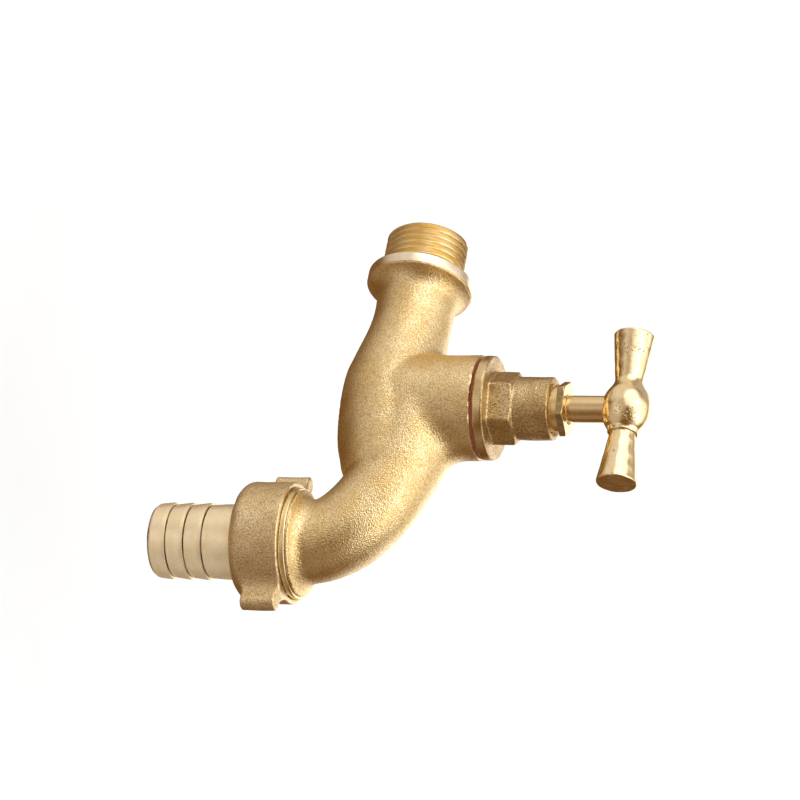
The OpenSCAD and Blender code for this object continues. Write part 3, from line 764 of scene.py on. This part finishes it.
def spindle_thread(h, phase):
    wave = 1 / (1 + math.exp(-9 * math.sin(2 * math.pi * phase)))
    fade = np.clip((h - STEM_THREAD_LOW) / 0.3, 0, 1) * np.clip((STEM_THREAD_HIGH - h) / 0.3, 0, 1)
    return STEM_ROOT_R + 0.85 * fade * wave


# The lower end is bored for the stem of the jumper
foot, top = shaft_low[2], shaft_high[2]
spindle_profile = [(2.6, foot), (4.0, foot, 0.3), (STEM_ROOT_R, STEM_THREAD_LOW),
                   (STEM_ROOT_R, STEM_THREAD_HIGH), (SHAFT_R, STEM_THREAD_HIGH + 0.8), (SHAFT_R, top, 0.5),
                   (0.0, top), (0.0, foot + 9), (2.6, foot + 9)]
stem_thread = (STEM_THREAD_LOW, STEM_THREAD_HIGH, STEM_PITCH, spindle_thread)
points, faces = lathe(spindle_profile, 128, thread=stem_thread)
piece("spindle_turned", (points + np.array(SPINDLE), faces), shaft_brass, "spindle", "spindle", 35)


# ---- Handle ----
TIP = 20.4
ROOT_R = 3.3
FLARE = 1.9


def handle(x, y, z):
    u = (x - SPINDLE_X) * ARM[0] + y * ARM[1]
    v = y * ARM[0] - (x - SPINDLE_X) * ARM[1]
    w = z - GRIP_Z
    r = np.hypot(v, w)
    ball = (np.hypot(u / 7.5, np.hypot(v, w - 0.12) / BALL_R) - 1) * 5.8
    left_r = ROOT_R + 0.05 + FLARE * np.clip((-u - 6.4) / 14, 0, 1)
    left = rounded((r - left_r) * 0.98, np.abs(u + TIP / 2) - TIP / 2, 0.35)
    right_r = ROOT_R - 0.05 + FLARE * np.clip((u - 6.8) / 13.6, 0, 1) ** 1.05
    right = rounded((r - right_r) * 0.98, np.abs(u - TIP / 2) - TIP / 2, 0.3)
    # The left arm flows into the ball; the right one starts from a raised ring
    collar = rounded(r - 3.85, np.abs(u - 6.2) - 0.7, 0.3)
    body = fillet(ball, left, 1.3)
    body = np.minimum(fillet(body, collar, 0.35), right)
    body = body + ripple(u, v, w, 4.0, 0.035)
    socket = np.maximum(np.hypot(x - SPINDLE_X, y) - SHAFT_R - 0.06, z - GRIP_Z - 2)
    screw = np.maximum(np.hypot(x - SPINDLE_X, w) - 2.06, -y)
    return np.maximum(body, -np.minimum(socket, screw))


low = (SPINDLE_X - 21.2, -7.4, GRIP_Z - 6.6)
high = (SPINDLE_X + 21.2, 7.4, GRIP_Z + 6.6)
shape = surface(handle, low, high, 0.2 * coarse)
piece("tee_handle", shape, handle_brass, "spindle", "handle", 40, clean=False)

# ---- Union nut ----
NUT_R = 15.2
NUT_BASE = NUT_END + 0.5
LUG_TURN = -10.0
LUG_REACH = 21.0
LUG_HALF_T = 2.15
LUG_TOP = NUT_RIM - 0.6
LUG_FOOT = NUT_RIM - 9.5
NUT_BORE_R = 13.35
TAIL_HOLE_R = 9.75


def union_nut(x, y, z):
    px = x - OUTLET_X
    r = np.hypot(px, y)
    wall = rounded(rounded(r - NUT_R, NUT_BASE - z, 3.2), z - NUT_RIM, 0.35)
    a = math.radians(LUG_TURN)
    across = np.abs(px * math.cos(a) + y * math.sin(a))
    side = np.abs(y * math.cos(a) - px * math.sin(a))
    lug = rounded(side - LUG_HALF_T, across - LUG_REACH, 2.0)
    lug = rounded(lug, np.maximum(z - LUG_TOP, LUG_FOOT - z), 0.45)
    outside = fillet(wall, np.maximum(lug, 12 - across), 3.0)
    outside = np.maximum(outside, z - NUT_RIM) + ripple(px, y, z, 6.0, 0.06)
    # The bore opens out to a chamfer at the rim
    bore = r - NUT_BORE_R - np.maximum(z - NUT_RIM + 0.8, 0)
    bore = np.maximum(bore, FLANGE_UNDER_WASHER - 2.0 - z)
    return np.maximum(outside, -np.minimum(bore, r - TAIL_HOLE_R))


low = (OUTLET_X - 21.8, -16.4, NUT_END - 0.8)
high = (OUTLET_X + 21.8, 16.4, NUT_RIM + 0.8)
shape = surface(union_nut, low, high, 0.33 * coarse)
piece("union_nut_cast", shape, nut_brass, "nut", "union_nut", 40, clean=False)

# ---- Hose tail ----
TAIL_END = tail_low[2]
TAIL_TOP = tail_high[2]
BARB_R = 9.65
BARB_PITCH = 4.8
BARBS = 3
TAIL_R = 9.45
TAIL_BORE_R = 7.3
TAIL_FLANGE_R = 13.0
TAIL_FLANGE_T = 2.0
first_ledge = TAIL_END + BARBS * BARB_PITCH
tail_profile = [(TAIL_BORE_R, TAIL_TOP), (TAIL_FLANGE_R, TAIL_TOP, 0.2),
                (TAIL_FLANGE_R, TAIL_TOP - TAIL_FLANGE_T, 0.2), (TAIL_R, TAIL_TOP - TAIL_FLANGE_T, 0.3),
                (TAIL_R, first_ledge + BARB_PITCH - 0.3, 0.3)]
for k in range(BARBS):
    ledge = first_ledge - k * BARB_PITCH
    root = BARB_R - 0.75
    tail_profile += [(root + 0.3, ledge + 0.35, 0.05), (root, ledge + 0.2), (root, ledge),
                     (BARB_R - 0.06, ledge, 0.08), (BARB_R, ledge - 0.9, 0.3)]
tail_profile += [(9.35, TAIL_END + 0.9, 0.4), (8.7, TAIL_END, 0.25), (TAIL_BORE_R, TAIL_END, 0.2)]
points, faces = lathe(tail_profile, 192)
piece("hose_tail_turned", (points + np.array(OUTLET), faces), tail_brass, "tail", "hose_tail", 25)

# ---- Inner parts keep their CAD shape ----
INNER = (("gland_follower", inner_brass), ("packing_ring_upper", graphite), ("packing_ring_lower", graphite),
         ("jumper_valve", inner_brass), ("tap_washer", rubber), ("jumper_nut", inner_brass),
         ("handle_screw", steel), ("union_washer", rubber))
for node, finish in INNER:
    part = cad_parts[node]
    part.data.materials.clear()
    part.data.materials.append(finish)

# ---- Floor ----
FLOOR_DROP = 40.0
bpy.ops.mesh.primitive_plane_add(size=6, location=(0.04, 0, (TAIL_END - FLOOR_DROP) * MM))
floor = bpy.context.object
floor.name = "floor"
paper = Finish("pale_floor")
cloud = paper.span(paper.noise(60), 0.3, 0.7)
tone = paper.mix(cloud, (0.90, 0.90, 0.90), (0.92, 0.92, 0.92))
floor.data.materials.append(paper.done(tone, 0.9, 0.0))
floor.visible_glossy = False

# ---- Camera at the photograph's viewing angle ----
azimuth, elevation, roll = math.radians(32.33), math.radians(17.40), math.radians(-0.47)
AIM = Vector((26.78, 15.12, -4.93)) * MM
DISTANCE = 900 * MM
sideways = Vector((math.cos(azimuth), math.sin(azimuth), 0.0))
level_back = Vector((math.sin(azimuth), -math.cos(azimuth), 0.0))
vertical = Vector((0.0, 0.0, 1.0))
back = math.cos(elevation) * level_back + math.sin(elevation) * vertical
upwards = math.cos(elevation) * vertical - math.sin(elevation) * level_back
# The picture lies on its side: the tap's top is on the right
right = math.cos(roll) * upwards + math.sin(roll) * sideways
up = math.sin(roll) * upwards - math.cos(roll) * sideways
lens = bpy.data.cameras.new("camera")
lens.sensor_width = 36
lens.lens = 156.6
lens.clip_start = 0.05
camera = bpy.data.objects.new("camera", lens)
bpy.context.scene.collection.objects.link(camera)
facing = Matrix((right, up, back)).transposed().to_4x4()
camera.matrix_world = Matrix.Translation(AIM + DISTANCE * back) @ facing
bpy.context.scene.camera = camera
bpy.context.scene.view_settings.view_transform = "Standard"

# ---- Studio light: white for the eye and the floor, softboxes on a warm dark room for the metal ----
world = bpy.data.worlds.new("studio")
bpy.context.scene.world = world
world.use_nodes = True
tree = world.node_tree
tree.nodes.clear()


def world_node(kind, *values, **settings):
    node = tree.nodes.new(kind)
    for key, value in settings.items():
        setattr(node, key, value)
    for socket, value in zip(node.inputs, values):
        if isinstance(value, bpy.types.NodeSocket):
            tree.links.new(value, socket)
        elif value is not None:
            socket.default_value = value
    return node


direction = world_node("ShaderNodeTexCoord").outputs["Generated"]
WHITE = 1.18
ROOM = (0.19, 0.095, 0.03)
# Each softbox: degrees to the right of the camera, degrees above it, half angle, brightness
SOFTBOXES = [(-58, 22, 42, 1.4), (-20, 42, 38, 0.42), (0, 72, 48, 1.18), (35, 52, 33, 0.52),
             (60, 10, 28, 0.2), (158, 31, 36, 1.55), (-95, -15, 50, 0.6), (-30, -32, 38, 0.32),
             (0, -60, 45, 0.33), (85, -35, 35, 0.17), (-145, 35, 40, 0.32)]
light = world_node("ShaderNodeVectorMath", ROOM, (0, 0, 0), operation="ADD").outputs["Vector"]
for aside, above, half_angle, brightness in SOFTBOXES:
    aside, above = math.radians(aside), math.radians(above)
    level = math.sin(aside) * sideways + math.cos(aside) * back
    toward = math.cos(above) * level + math.sin(above) * upwards
    facing = world_node("ShaderNodeVectorMath", direction, toward, operation="DOT_PRODUCT")
    edge, core = math.cos(math.radians(half_angle)), math.cos(math.radians(half_angle * 0.35))
    box = world_node("ShaderNodeMapRange", facing.outputs["Value"], edge, core, 0.0, brightness,
                     interpolation_type="SMOOTHSTEP")
    light = world_node("ShaderNodeVectorMath", light, box.outputs[0], operation="ADD").outputs["Vector"]
rays = world_node("ShaderNodeLightPath")
plain_ray = world_node("ShaderNodeMath", rays.outputs["Is Camera Ray"], rays.outputs["Is Diffuse Ray"],
                       operation="MAXIMUM")
metal_light = world_node("ShaderNodeBackground", light, 1.0)
white_light = world_node("ShaderNodeBackground", (1, 1, 1, 1), WHITE)
both = world_node("ShaderNodeMixShader", plain_ray.outputs[0], metal_light.outputs[0], white_light.outputs[0])
output = tree.nodes.new("ShaderNodeOutputWorld")
tree.links.new(both.outputs[0], output.inputs["Surface"])
world.cycles.sampling_method = "NONE"
